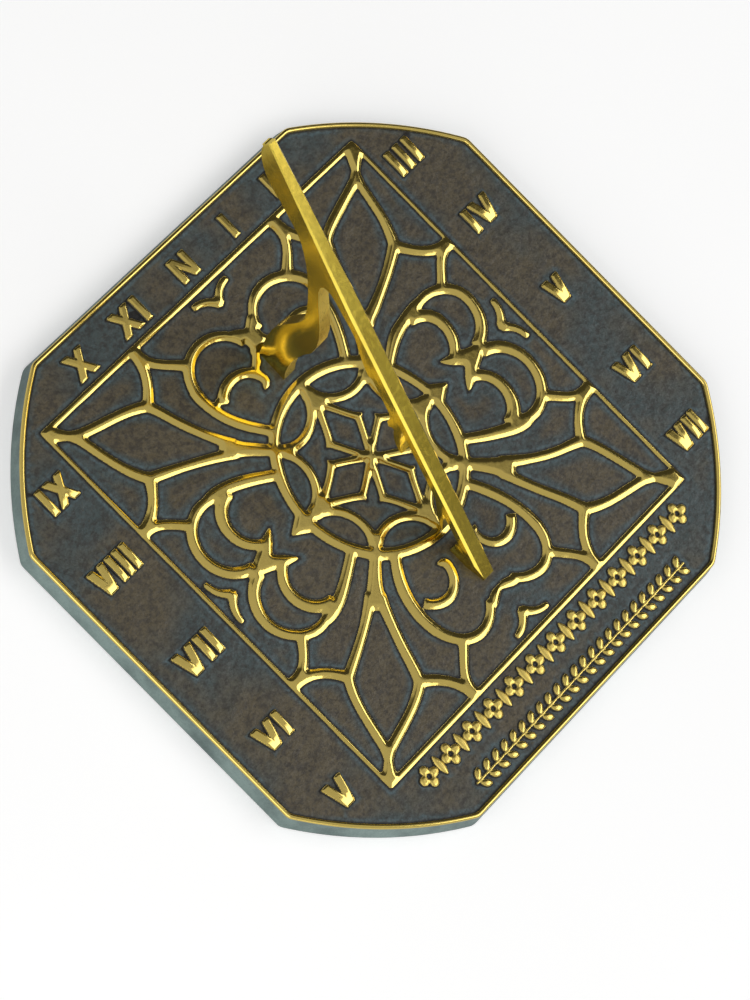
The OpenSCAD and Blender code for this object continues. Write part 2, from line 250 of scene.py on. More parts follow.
@dataclass(frozen=True)
class PatinatedFace:
    """Face of the plate: rubbed brass on the raised work, brown and slate patina between it, with painted
    shade and a painted reflection beside the raised work.
    """

    name: str = "patinated_face"
    brass: Colour = (0.84, 0.64, 0.17)
    # Near-black painted shade in the crease along the foot of the raised work
    foot: Colour = (0.012, 0.012, 0.011)
    brown: Colour = (0.114, 0.093, 0.055)
    slate: Colour = (0.063, 0.087, 0.088)
    # Lighter slate-blue painted reflection for a band 0.6 to 2.3 mm beside the raised work
    painted_sheen: Colour = (0.095, 0.150, 0.170)
    soot: Colour = (0.030, 0.026, 0.022)
    gloss: float = 0.13
    dull: float = 0.42
    dent_mm: float = 0.4

    def ground(self, s: Shader, edge: Socket) -> Socket:
        """Colours the patina: slate beside the raised work, brown away from it, soot over both, a painted
        reflection in a band beside the raised work and painted shade along its foot.

        Args:
            s: The material's node helper.
            edge: Distance in mm to the raised work, less than 0 outside it.

        Returns:
            The colour.
        """
        broad = s.noise(26, 4, 0.5)
        ground = s.mix(s.ramp(s.stray(edge, broad, 14.0), -4.0, -0.7), self.brown, self.slate)
        # Painted reflection: lighter slate-blue in patches of a band 0.6 to 2.3 mm from the raised work
        halo = s.math("MULTIPLY", s.ramp(edge, -2.3, -1.3), s.ramp(edge, -1.1, -0.6, 1.0, 0.0))
        ground = s.mix(s.math("MULTIPLY", halo, s.ramp(broad, 0.3, 0.6, 0.0, 0.7)), ground, self.painted_sheen)
        for stain in (Stain(self.soot, 430, 4, 0.65, 0.42, 0.66, 0.68),
                      Stain(self.soot, 1100, 3, 0.7, 0.4, 0.75, 0.6),
                      Stain(self.soot, 150, 4, 0.7, 0.46, 0.66, 0.16)):
            ground = stain.over(s, ground)
        # Painted shade: near-black where the ground meets the raised work, fading out within 0.8 mm
        return s.mix(s.ramp(edge, -0.8, -0.25), ground, self.foot)

    def make(self) -> Material:
        """Builds the material, which reads the distance to the raised work from the mesh.

        Returns:
            The material.
        """
        material, s = new_material(self.name)
        edge = s.add("ShaderNodeAttribute", attribute_name="edge_mm").outputs["Fac"]
        fine = s.noise(430, 4, 0.65)
        rubbed = s.ramp(s.stray(edge, fine, 0.16), 0.02, 0.22)
        grime = s.math("MULTIPLY", s.ramp(fine, 0.4, 0.8), 0.1)
        pits, waves = s.math("MULTIPLY", s.noise(520, 5, 0.6), 0.6), s.math("MULTIPLY", s.noise(110, 4), 1.9)
        height = s.math("MULTIPLY", s.math("ADD", pits, waves), s.ramp(rubbed, 0.0, 1.0, 1.0, 0.04))
        s.surface(Base_Color=s.mix(rubbed, self.ground(s, edge), self.brass), Metallic=rubbed,
                  Roughness=s.math("ADD", s.ramp(rubbed, 0.0, 1.0, self.dull, self.gloss), grime),
                  Normal=s.bump(height, self.dent_mm))
        return material


@dataclass(frozen=True)
class CastSkin:
    """Rough cast skin left as it came from the sand."""

    name: str
    light: Colour
    dark: Colour
    metal: float = 0.35
    rough: tuple[float, float] = (0.5, 0.72)
    grit_mm: float = 0.25

    def make(self) -> Material:
        """Builds the material.

        Returns:
            The material.
        """
        material, s = new_material(self.name)
        tone = Stain(self.dark, 45, 5, 0.6, 0.35, 0.68).over(s, self.light)
        tone = Stain(self.dark, 1400, 4, 0.7, 0.45, 0.8, 0.5).over(s, tone)
        grit = s.noise(1400, 4, 0.7)
        s.surface(Base_Color=tone, Metallic=self.metal, Roughness=s.ramp(grit, 0.3, 0.8, *self.rough),
                  Normal=s.bump(grit, self.grit_mm, 0.8))
        return material


# Distance fields and raised work


@dataclass
class Skin:
    """Vertices and faces of one surface in mm, with each vertex's distance to the foot and its direction."""

    points: Array
    edge: Array
    gradient: Array
    faces: list[Face]
    outline: Array


@dataclass(frozen=True)
class Relief:
    """Cross section of raised work in mm: an upright foot, a slope that rolls over and a level crown."""

    height: float = 1.3
    foot: float = 0.36
    crown: float = 2.6
    level: float = 1.5
    settle: float = 0.35
    foot_w: float = 0.1

    @property
    def pitch(self) -> float:
        """Rise per mm of the slope where it leaves the foot."""
        return (self.height - self.foot) / (self.crown * 2 / 3)

    def rise(self, edge: Array) -> Array:
        """Height above the ground.

        Args:
            edge: Distance in from the foot, in mm.

        Returns:
            Height in mm.
        """
        over = np.maximum(edge - self.level, 0)
        e = np.minimum(edge, self.level) + self.settle * (1 - np.exp(-over / self.settle))
        e = np.clip(e, 0, self.crown)
        slope = self.pitch * (e - e ** 3 / (3 * self.crown ** 2))
        return self.foot * np.clip(e / self.foot_w, 0, 1) + slope

    def lean(self, edge: Array) -> Array:
        """Slope of the surface, without the upright foot.

        Args:
            edge: Distance in from the foot, in mm.

        Returns:
            Rise per mm.
        """
        over = np.maximum(edge - self.level, 0)
        e = np.clip(edge, 0, self.crown)
        return self.pitch * (1 - (e / self.crown) ** 2) * np.exp(-over / self.settle)

    def normals(self, skin: Skin, northward: Array | float = 0.0) -> Array:
        """Normals of raised work.

        Args:
            skin: The surface.
            northward: Further rise per mm to the north.

        Returns:
            One unit normal for each point.
        """
        lean = self.lean(skin.edge)[:, None] * skin.gradient
        lean[:, 1] += northward
        normals = np.concatenate([-lean, np.ones((len(lean), 1))], 1)
        return normals / np.linalg.norm(normals, axis=1, keepdims=True)


@dataclass
class DistanceField:
    """Signed distance in mm to a set of outlines, on a square grid: positive inside them."""

    low: tuple[float, float]
    high: tuple[float, float]
    pitch: float = 0.3
    reach: float = 6.0
    values: Array = field(init=False)

    def __post_init__(self) -> None:
        """Makes the grid, far from any outline."""
        nx, ny = (int(round((b - a) / self.pitch)) + 1 for a, b in zip(self.low, self.high))
        self.values = np.full((ny, nx), -self.reach)

    def add(self, segments: Array) -> None:
        """Joins one closed set of outlines with the field.

        Args:
            segments: Array of n segments with two ends each, in mm.
        """
        ny, nx = self.values.shape
        away, flip = np.full((ny, nx), self.reach), np.zeros((ny, nx + 1), int)
        margin = self.reach / self.pitch
        for (ax, ay), (bx, by) in (segments - np.array(self.low)) / self.pitch:
            x0, x1 = max(0, int(min(ax, bx) - margin)), min(nx, int(max(ax, bx) + margin) + 2)
            y0, y1 = max(0, int(min(ay, by) - margin)), min(ny, int(max(ay, by) + margin) + 2)
            if x0 >= x1 or y0 >= y1:
                continue
            px, py = np.arange(x0, x1)[None, :] - ax, np.arange(y0, y1)[:, None] - ay
            dx, dy = bx - ax, by - ay
            t = np.clip((px * dx + py * dy) / max(dx * dx + dy * dy, 1e-12), 0, 1)
            d = np.hypot(px - t * dx, py - t * dy) * self.pitch
            np.minimum(away[y0:y1, x0:x1], d, out=away[y0:y1, x0:x1])
            rows = np.arange(max(0, math.ceil(min(ay, by))), min(ny - 1, math.ceil(max(ay, by)) - 1) + 1)
            if len(rows) and dy:
                cross = np.ceil(ax + (rows - ay) / dy * dx).astype(int)
                np.add.at(flip, (rows, np.clip(cross, 0, nx)), 1)
        inside = np.cumsum(flip, axis=1)[:, :nx] % 2 == 1
        self.values = np.maximum(self.values, np.where(inside, away, -away))

    def soften(self, sigma: float) -> None:
        """Rounds corners and fills the crotches between strokes.

        Args:
            sigma: Width of the rounding in mm.
        """
        n = max(1, int(math.ceil(2.5 * sigma / self.pitch)))
        k = np.exp(-0.5 * (np.arange(-n, n + 1) * self.pitch / sigma) ** 2)
        k /= k.sum()
        for axis in (0, 1):
            padded = np.pad(self.values, [(n, n) if a == axis else (0, 0) for a in (0, 1)], mode="edge")
            take = [slice(None), slice(None)]
            total = np.zeros_like(self.values)
            for i, w in enumerate(k):
                take[axis] = slice(i, i + self.values.shape[axis])
                total += w * padded[tuple(take)]
            self.values = total

    def waver(self, size: float, amount: float, seed: int) -> None:
        """Lets the edges wander a little, as in hand cut work.

        Args:
            size: Size of the waves in mm.
            amount: Height of the waves in mm.
            seed: Seed of the waves.
        """
        ny, nx = self.values.shape
        step = size / self.pitch
        coarse = np.random.default_rng(seed).normal(size=(int(ny / step) + 3, int(nx / step) + 3))
        ys, xs = np.arange(ny) / step, np.arange(nx) / step
        rows = np.stack([np.interp(xs, np.arange(coarse.shape[1]), r) for r in coarse])
        self.values += amount * np.stack([np.interp(ys, np.arange(coarse.shape[0]), c) for c in rows.T]).T

    def place(self, row: Array, column: Array) -> Array:
        """Points in mm for grid positions."""
        return np.stack([self.low[0] + column * self.pitch, self.low[1] + row * self.pitch], -1)

    def sample(self, points: Array) -> Array:
        """Distance at any points.

        Args:
            points: Places in mm.

        Returns:
            Distances in mm.
        """
        g = (points - np.array(self.low)) / self.pitch
        ny, nx = self.values.shape
        x, y = np.clip(g[:, 0], 0, nx - 1.001), np.clip(g[:, 1], 0, ny - 1.001)
        i, j = y.astype(int), x.astype(int)
        u, v, f = x - j, y - i, self.values
        below, over = (f[k, j] * (1 - u) + f[k, j + 1] * u for k in (i, i + 1))
        return below * (1 - v) + over * v

    def slope(self, points: Array) -> Array:
        """Direction in which the distance grows.

        Args:
            points: Places in mm.

        Returns:
            Growth per mm to the east and to the north.
        """
        h = self.pitch * 0.7
        growth = [self.sample(points + step) - self.sample(points - step) for step in np.eye(2) * h]
        return np.stack(growth, -1) / (2 * h)

    def skin(self) -> Skin:
        """Covers the inside of the outlines with faces whose edge follows the outline.

        Returns:
            The surface, with the numbers of its outline's sides.
        """
        f = self.values
        ny, nx = f.shape
        inside = f > 0
        node = np.full((ny, nx), -1)
        rows, cols = np.nonzero(inside)
        node[rows, cols] = np.arange(len(rows))
        points = [self.place(rows, cols)]
        count = len(rows)
        crossings = []
        for dr, dc in ((0, 1), (1, 0)):
            a, b = f[: ny - dr, : nx - dc], f[dr:, dc:]
            r, c = np.nonzero((a > 0) != (b > 0))
            t = a[r, c] / (a[r, c] - b[r, c])
            ids = np.full((ny, nx), -1)
            ids[r, c] = count + np.arange(len(r))
            count += len(r)
            points.append(self.place(r + dr * t, c + dc * t))
            crossings.append(ids)
        across, up = crossings
        corner = [node[:-1, :-1], node[:-1, 1:], node[1:, 1:], node[1:, :-1]]
        side = [across[:-1, :-1], up[:-1, 1:], across[1:, :-1], up[:-1, :-1]]
        case = sum((c >= 0).astype(int) << i for i, c in enumerate(corner))
        shapes = {1: ["c0 e0 e3"], 2: ["c1 e1 e0"], 3: ["c0 c1 e1 e3"], 4: ["c2 e2 e1"],
                  5: ["c0 e0 e3", "c2 e2 e1"], 6: ["c1 c2 e2 e0"], 7: ["c0 c1 c2 e2 e3"], 8: ["c3 e3 e2"],
                  9: ["c0 e0 e2 c3"], 10: ["c1 e1 e0", "c3 e3 e2"], 11: ["c0 c1 e1 e2 c3"],
                  12: ["c2 c3 e3 e1"], 13: ["c0 e0 e1 c2 c3"], 14: ["c1 c2 c3 e3 e0"], 15: ["c0 c1 c2 c3"]}
        faces, outline = [], []
        for number, polygons in shapes.items():
            r, c = np.nonzero(case == number)
            for names in map(str.split, polygons):
                ids = [(corner if n[0] == "c" else side)[int(n[1])][r, c] for n in names]
                faces += list(zip(*(i.tolist() for i in ids)))
                for k, name in enumerate(names):
                    after = (k + 1) % len(names)
                    if name[0] == "e" and names[after][0] == "e":
                        outline.append(np.stack([ids[k], ids[after]], -1))
        flat = np.concatenate(points)
        edge = np.maximum(self.sample(flat), 0)
        edge[len(rows):] = 0
        return Skin(flat, edge, self.slope(flat), faces, np.concatenate(outline))


@dataclass(frozen=True)
class PlacedPlan:
    """Plan of a raised form at its place on the plate, with the ground's halo round it, in mm."""

    plan: DistanceField
    east: float = 0.0
    north: float = 0.0
    halo: float = 0.8
    hurry: float = 5.0

    def sample(self, points: Array) -> Array:
        """Distance to the form, which grows fast beyond the halo.

        Args:
            points: Places on the plate in mm.

        Returns:
            Distances in mm, less than 0 outside the form.
        """
        near = points - [self.east, self.north]
        inside = ((near > np.array(self.plan.low)) & (near < np.array(self.plan.high))).all(axis=1)
        found = np.full(len(points), -self.plan.reach)
        found[inside] = self.plan.sample(near[inside])
        return found - (self.hurry - 1) * np.maximum(-found - self.halo, 0)

    def beside(self) -> Array:
        """Chooses places on the ground along the form's foot and 1 mm off.

        Returns:
            Places on the plate in mm.
        """
        skin = self.plan.skin()
        rim = np.unique(skin.outline)[::2]
        foot, slope = skin.points[rim], skin.gradient[rim]
        slope = slope / np.maximum(np.linalg.norm(slope, axis=1, keepdims=True), 1e-6)
        ring = np.concatenate([foot - slope * 0.1, (foot - slope * 1.0)[::2]])
        return ring[self.plan.sample(ring) < -0.04] + [self.east, self.north]


# Meshes


def sides(points: Outline | Array) -> Array:
    """Sides of a closed loop of points, or of point numbers, as pairs."""
    return np.stack([points, np.roll(points, -1, axis=0)], 1)


def loops_after(start: int, *loops: Array) -> list[Array]:
    """Numbers of the points of several loops that follow one another from a first number."""
    ends = start + np.cumsum([len(loop) for loop in loops])
    return [np.arange(end - len(loop), end) for loop, end in zip(loops, ends)]


def renumber(faces: list[Face], numbers: Array, turn: int = 1) -> list[Face]:
    """Faces with each vertex looked up in a list of numbers, turned round where turn is -1."""
    return [tuple(numbers[list(f)][::turn].tolist()) for f in faces]


def read(items: bpy.types.bpy_prop_collection, name: str, width: int = 1, kind: type = np.int32) -> Array:
    """Reads one property of all items of a mesh.

    Args:
        items: The items.
        name: Name of the property.
        width: Numbers in each value.
        kind: Kind of number.

    Returns:
        The values, one row for each item where they hold several numbers.
    """
    found = np.zeros(len(items) * width, kind)
    items.foreach_get(name, found)
    return found.reshape(-1, width) if width > 1 else found


def place_in_scene(name: str, data: bpy.types.ID) -> Thing:
    """Makes an object at the origin and adds it to the scene.

    Args:
        name: Its name.
        data: Its mesh, camera or lamp.

    Returns:
        The object.
    """
    thing = bpy.data.objects.new(name, data)
    bpy.context.scene.collection.objects.link(thing)
    return thing


def modified_mesh(thing: Thing) -> bpy.types.Mesh:
    """Mesh that an object's modifiers give, which are then removed.

    Args:
        thing: The object.

    Returns:
        A new mesh.
    """
    made = bpy.data.meshes.new_from_object(thing.evaluated_get(bpy.context.evaluated_depsgraph_get()))
    thing.modifiers.clear()
    return made


@dataclass
class MeshMaker:
    """Gathers vertices and faces in mm, with a normal for each vertex where one is wanted."""

    points: list[Array] = field(default_factory=list)
    faces: list[Face] = field(default_factory=list)
    slots: list[int] = field(default_factory=list)
    normals: dict[int, tuple[int, Array]] = field(default_factory=dict)
    edge: list[Array] = field(default_factory=list)
    count: int = 0
    sharp_deg: float = 35.0

    def vertices(self, flat: Array, z: Array | float, edge: Array | float = -20.0) -> Array:
        """Adds vertices.

        Args:
            flat: Places seen from above, in mm.
            z: Height of each, or of all.
            edge: Distance to the raised work's foot for each, or for all.

        Returns:
            Their numbers.
        """
        n = len(flat)
        self.points.append(np.column_stack([flat, np.broadcast_to(z, n)]))
        self.edge.append(np.broadcast_to(edge, n))
        self.count += n
        return np.arange(self.count - n, self.count)

    def cover(self, faces: list[Face], slot: int = 0, normals: Array | None = None) -> None:
        """Adds faces.

        Args:
            faces: Vertex numbers of each face, with its outside to the front.
            slot: Material number.
            normals: Normal of every vertex so far, used for these faces alone.
        """
        if normals is not None:
            self.normals[len(self.faces)] = (len(faces), normals)
        self.faces += faces
        self.slots += [slot] * len(faces)

    def strip(self, upper: Array, lower: Array, slot: int = 0) -> Array:
        """Joins two closed rings of as many vertices.

        Args:
            upper: Numbers of the first ring.
            lower: Numbers of the second ring.
            slot: Material number.

        Returns:
            The second ring.
        """
        quads = np.stack([lower, np.roll(lower, -1), np.roll(upper, -1), upper], -1)
        self.cover([tuple(q) for q in quads.tolist()], slot)
        return lower

    def build(self, name: str, materials: list[Material]) -> Thing:
        """Makes the object.

        Args:
            name: Name of the piece.
            materials: Materials by slot number.

        Returns:
            The new object, at the origin.
        """
        mesh = bpy.data.meshes.new(name)
        mesh.from_pydata(np.concatenate(self.points) * MM, [], self.faces)
        for material in materials:
            mesh.materials.append(material)
        mesh.polygons.foreach_set("material_index", np.array(self.slots, np.int32))
        mesh.attributes.new("edge_mm", "FLOAT", "POINT").data.foreach_set(
            "value", np.concatenate(self.edge).astype(np.float32))
        mesh.shade_smooth()
        mesh.set_sharp_from_angle(angle=math.radians(self.sharp_deg))
        mesh.update()
        if self.normals:
            loops = read(mesh.corner_normals, "vector", 3, np.float32)
            vertex = read(mesh.loops, "vertex_index")
            starts = np.append(read(mesh.polygons, "loop_start"), len(mesh.loops))
            for first, (n, normals) in self.normals.items():
                part = slice(starts[first], starts[first + n])
                loops[part] = normals[vertex[part]]
            mesh.normals_split_custom_set(loops.tolist())
        return place_in_scene(name, mesh)


def triangulate(points: Array, edges: Array, keep: Callable[[Array], Array]) -> list[Face]:
    """Fills an area with triangles between given points.

    Args:
        points: Places in mm.
        edges: Pairs of point numbers that triangles may not cross.
        keep: Function from triangle middles to which of them stay.

    Returns:
        Triangles of point numbers, anticlockwise.
    """
    least = 1e-7
    _, _, faces, origin, _, _ = cdt(
        [Vector(p) for p in points.tolist()], [tuple(e) for e in edges.tolist()], [], 0, least)
    number = np.array([o[0] if o else -1 for o in origin])
    tri = number[np.array(faces, int)]
    tri = tri[(tri >= 0).all(axis=1)]
    tri = tri[keep(points[tri].mean(axis=1))]
    a, b, c = points[tri[:, 0]], points[tri[:, 1]], points[tri[:, 2]]
    area = (b[:, 0] - a[:, 0]) * (c[:, 1] - a[:, 1]) - (b[:, 1] - a[:, 1]) * (c[:, 0] - a[:, 0])
    tri[area < 0] = tri[area < 0][:, ::-1]
    return [tuple(t) for t in tri[np.abs(area) > least].tolist()]


def raise_solid(maker: MeshMaker, plan: DistanceField, relief: Relief, north: float = 0.0,
                fall: float = 0.0) -> None:
    """Adds a closed raised form that stands on the face.

    Args:
        maker: Where the form is added.
        plan: Distance field of its plan.
        relief: Its cross section.
        north: How far the form is moved to the north.
        fall: How far the crown falls toward its south end.
    """
    sink, start, shoulder, shading = 0.4, 0.25, 0.35, 1.35
    skin = plan.skin()
    low, high = skin.points[:, 1].min(), skin.points[:, 1].max()
    half = (high - low) / 2
    along = (skin.points[:, 1] - (low + high) / 2) / half
    inward = np.clip(skin.edge / shoulder, 0, 1)
    drop = np.clip(start - along, 0, None) / (1 + start)
    flat = skin.points + [0, north]
    before = maker.count
    top = maker.vertices(flat, FACE_Z + relief.rise(skin.edge) - fall * drop ** 2 * inward, skin.edge)
    normals = relief.normals(skin, shading * fall * 2 * drop / ((1 + start) * half) * inward)
    maker.cover(renumber(skin.faces, top), 0, np.concatenate([np.zeros((before, 3)), normals]))
    under = maker.vertices(flat, FACE_Z - sink, 0.0)
    maker.cover(renumber(skin.faces, under, -1))
    b, a = skin.outline.T
    maker.cover([tuple(f) for f in np.stack([under[a], under[b], top[b], top[a]], -1).tolist()])


def finish_piece(thing: Thing, slot: Slot, *nodes: str) -> None:
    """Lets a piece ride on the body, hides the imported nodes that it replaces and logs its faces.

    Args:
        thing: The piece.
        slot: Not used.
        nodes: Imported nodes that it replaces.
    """
    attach(thing, "root")
    if nodes:
        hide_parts(*nodes)
    log.info("%s: %d faces", thing.name, len(thing.data.polygons))


# The plate

# Where the carver's hand strayed from the drawn pattern: place, then shift, to the east and north in mm
DRIFTS = (
    # North west quarter
    (-43, 52, -1.4, 0), (-38.6, 84, -1.6, -1), (-30, 48, -1.8, 0), (-18.4, 74.6, 0, -1.4),
    (-18.8, 57, 0, -1.2), (-76.6, 63.4, -0.7, 0), (-63.4, 76, 0, -0.9), (-13, 31, -0.9, 0),
    # South west quarter
    (-43, -52, -1.4, 0), (-35.5, -41, -3.2, 0), (-32, -64, 2.2, 0), (-30.5, -50, 0.6, 0),
    (-81, -38.6, 1.6, 0),
    # North east quarter
    (38.5, 85, 2.5, -1.6), (38.6, 80, 2.5, -3), (33, 74, 2.2, -2.2), (18, 74.5, 0, -1.4), (64, 75, 0, -3),
    (77.5, 77.5, -1.2, -2.6), (57, 42, 0, -2.5), (84, 38, 0, -2.5), (74, 31, 0, -3.2), (60, 32, 0, -3),
    (80, 14, -1.2, 0), (63.4, 15.7, -2, 0), (49.6, 8.4, -2, -1),
    # South east quarter
    (56.4, -44.3, 0, -3), (42, -50, -2.6, 0), (48, -64, -1, 0), (75, -64, -2.8, 0), (77.5, -77.5, -2.5, 1.5),
    (38.6, -83, -3, 0), (31, -78, -3, 0), (46, -78, -2.6, 0.6), (32.7, -60, -4, 0), (28, -46, -2.5, 0),
    (22, -56, -2, 0.8), (80, -16, -1.4, 0), (63.4, -15.7, -2.4, 0), (49.6, -8.4, -1.8, -1.2),
    (81, -38.6, -1.5, -1.8), (73, -47, -2, -1), (74, -32, -1.5, -1.6), (17, -75, 0, 0.8),
    # Places that stay as drawn
    (0, 55, 0, 0), (0, -50, 0, 0), (0, 0, 0, 0), (35, 0, 0, 0), (-35, 0, 0, 0), (31, -34, 0, 0),
    (30, 32, 0, 0), (0, 38, 0, 0), (0, -38, 0, 0),
)


@dataclass(frozen=True)
class HandCarving:
    """Moves the drawn pattern as the carver's hand did, but leaves the frame line straight."""

    # Half side of the area that moves freely, the frame line round it, and how far each drift is felt
    half: float = 87.7
    line: float = 89.0
    line_w: float = 1.35
    thin: float = 0.74
    spread: float = 7.0
    hold: float = 0.3
    ease: float = 3.5
    corner_ease: float = 8.0

    def moved(self, points: Array) -> Array:
        """Moves points of the pattern.

        Args:
            points: Places from the frame's middle, in mm.

        Returns:
            The moved places.
        """
        drifts = np.array(DRIFTS)
        gap = np.linalg.norm(points[:, None] - drifts[None, :, :2], axis=2)
        weight = np.exp(-0.5 * (gap / self.spread) ** 2)
        move = weight @ drifts[:, 2:] / (weight.sum(axis=1, keepdims=True) + self.hold)
        free = np.clip((self.half - np.abs(points)) / self.ease, 0, 1)
        within = (np.abs(points) < self.half + 0.1).all(axis=1, keepdims=True)
        corner = np.clip((2 * self.half - np.abs(points).sum(axis=1, keepdims=True)) / self.corner_ease, 0, 1)
        moved = points + np.where(within, move * free, move * free * corner)
        off = np.abs(points[:, 0]) - self.line
        beside = np.abs(off) < self.line_w
        moved[beside, 0] = np.sign(points[beside, 0]) * (self.line + off[beside] * self.thin)
        return moved


@dataclass
class PlateCasting:
    """Cast plate with its rim, frame line and tracery, and its hollow back, in mm."""

    raised: tuple[PlacedPlan, ...]
    width: float = 254.0
    depth: float = 231.0
    corner_cut: tuple[float, float] = (54.5, 50.0)
    corner_r: float = 164.0
    outline_points: int = 760
    frame_half: float = 89.0
    frame_cells: int = 172
    margin_cells: int = 8
    rim_w: float = 2.0
    rim_foot: float = 0.3
    floor_t: float = 3.5
    skirt_t: float = 4.5
    draft: float = 1.2
    relief: Relief = Relief()
    screw_y: tuple[float, float] = (-43.8, 54.5)
    screw_hole_r: float = 2.2
    boss_r: float = 9.0
    boss_lift: float = 0.3
    thread_r: float = 3.4
    thread_l: float = 6.0
    thread_turns: int = 6
    # Pits of 1 mm between the ring and its petals, which are closed, and joints of the crescent by the foot
    pit_at: float = 28.4
    pit_r: float = 1.7
    necks: tuple[Outline, ...] = (
        ((-1.1, 61.4), (-11.0, 52.9), (-9.0, 50.5), (0.9, 59.0)),
        ((-28.8, 55.3), (-33.8, 53.8), (-33.0, 51.0), (-28.0, 52.5)))

    def rim_radius(self, angle: Array, grow: float) -> Array:
        """Distance from the middle to the outline in each direction, with its corners softened.

        Args:
            angle: Directions in radians.
            grow: How far the outline is moved outward, in mm.

        Returns:
            Distances in mm.
        """
        soft_w, soft = 0.8, 0.2
        ux, uy = np.abs(np.cos(angle)), np.abs(np.sin(angle))
        half = np.array([self.width, self.depth]) / 2
        flat = np.minimum((half[0] + grow) / np.maximum(ux, 1e-9), (half[1] + grow) / np.maximum(uy, 1e-9))
        cut = np.array(self.corner_cut)
        chord = np.linalg.norm(cut)
        sink = math.sqrt(self.corner_r ** 2 - chord ** 2 / 4)
        centre = half - cut / 2 - cut[::-1] / chord * sink
        along = ux * centre[0] + uy * centre[1]
        across = centre @ centre - (self.corner_r + grow) ** 2
        bowed = along + np.sqrt(np.maximum(along ** 2 - across, 0))
        near = np.clip(1 - np.abs(flat - bowed) / soft_w, 0, 1)
        return np.minimum(flat, bowed) - soft * near ** 2

    def outline(self, grow: float) -> Array:
        """Points of the plate's outline moved outward by grow, anticlockwise."""
        angle = np.arange(self.outline_points) * 2 * math.pi / self.outline_points - math.pi
        return self.rim_radius(angle, grow)[:, None] * np.stack([np.cos(angle), np.sin(angle)], -1)

    def from_rim(self, points: Array) -> Array:
        """Distance from the rim's inner foot, less than 0 on the face."""
        angle = np.arctan2(points[:, 1], points[:, 0])
        return np.hypot(points[:, 0], points[:, 1]) - self.rim_radius(angle, -self.rim_w)

    def ring(self, north: float, radius: float, n: int = 40) -> Array:
        """Points round a circle on the noon line, anticlockwise."""
        a = np.arange(n) * 2 * math.pi / n
        return np.stack([radius * np.cos(a), north + radius * np.sin(a)], -1)

    def screw_rings(self) -> list[Array]:
        """Points round the screw holes."""
        return [self.ring(y, self.screw_hole_r) for y in self.screw_y]

    def off_screws(self, points: Array, margin: float = 0.0) -> Array:
        """Which points lie outside the screw holes by more than a margin."""
        gap = np.min([np.hypot(points[:, 0], points[:, 1] - y) for y in self.screw_y], axis=0)
        return gap > self.screw_hole_r + margin

    def tracery(self) -> Array:
        """Finds the edges of the tracery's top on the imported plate, but for its tiny pits.

        Returns:
            Segments in mm from the frame's middle.
        """
        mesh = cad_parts["dial_plate"].data
        mesh.calc_loop_triangles()
        places = np.round(read(mesh.vertices, "co", 3, float) / MM, 3)
        unique, number = np.unique(places, axis=0, return_inverse=True)
        tri = number.reshape(-1)[read(mesh.loop_triangles, "vertices", 3)]
        top = FACE_Z + self.relief.height
        tri = tri[(np.abs(unique[tri][:, :, 2] - top) < 0.01).all(axis=1)]
        pairs = np.concatenate([tri[:, [0, 1]], tri[:, [1, 2]], tri[:, [2, 0]]])
        _, first, times = np.unique(np.sort(pairs, axis=1), axis=0, return_index=True, return_counts=True)
        edges = unique[pairs[first[times == 1]]][:, :, :2] - FRAME_MIDDLE
        for pit in self.pit_at * np.array([(1, 0), (0, 1), (-1, 0), (0, -1)]):
            edges = edges[np.linalg.norm(edges - pit, axis=2).max(axis=1) > self.pit_r]
        return edges[(np.abs(edges) < self.frame_half + 4).all(axis=(1, 2))]

    def carved(self, segments: Array, step: float = 1.5) -> Array:
        """Cuts segments short and moves them as the carver's hand did.

        Args:
            segments: The drawn outlines.
            step: Longest piece of outline, in mm.

        Returns:
            The carved outlines.
        """
        found = []
        length = np.linalg.norm(segments[:, 1] - segments[:, 0], axis=1)
        for (a, b), n in zip(segments, np.maximum(1, np.ceil(length / step)).astype(int)):
            line = a + (b - a) * np.linspace(0, 1, n + 1)[:, None]
            found.append(np.stack([line[:-1], line[1:]], 1))
        return HandCarving().moved(np.concatenate(found).reshape(-1, 2)).reshape(-1, 2, 2)

    def near_raised(self, points: Array, work: DistanceField) -> Array:
        """Distance to whatever is raised next to each point of the ground, less than 0 outside it.

        Args:
            points: Places on the plate in mm.
            work: Plan of the tracery, measured from the frame's middle.

        Returns:
            Distances in mm.
        """
        found = np.maximum(work.sample(points - FRAME_MIDDLE), self.from_rim(points))
        for plan in self.raised:
            found = np.maximum(found, plan.sample(points))
        return np.minimum(found, 0)

    def spots(self, work: DistanceField) -> Array:
        """Places inside the ground, closer together beside the raised work.

        Args:
            work: Plan of the tracery, measured from the frame's middle.

        Returns:
            Places on the plate in mm.
        """
        close, mid, apart = -0.45, -0.95, -3.2
        r, c = np.nonzero(work.values < 0)
        away = work.values[r, c]
        chosen = (away < close) & (away > mid) & ((r + c) % 2 == 0)
        chosen |= (away <= mid) & (away > apart) & (r % 3 == 0) & (c % 3 == 0)
        chosen |= (away <= apart) & (r % 6 == 0) & (c % 6 == 0)
        gx, gy = np.meshgrid(np.arange(-126, 127, 3.0), np.arange(-114, 115, 3.0))
        wide = np.stack([gx.ravel(), gy.ravel()], -1)
        wide = wide[(np.abs(wide - FRAME_MIDDLE) > self.frame_half + 5).any(axis=1)]
        chosen = work.place(r, c)[chosen] + FRAME_MIDDLE
        found = np.concatenate([chosen, wide, *(plan.beside() for plan in self.raised)])
        return found[(self.from_rim(found) < -0.6) & self.off_screws(found, 0.4)]

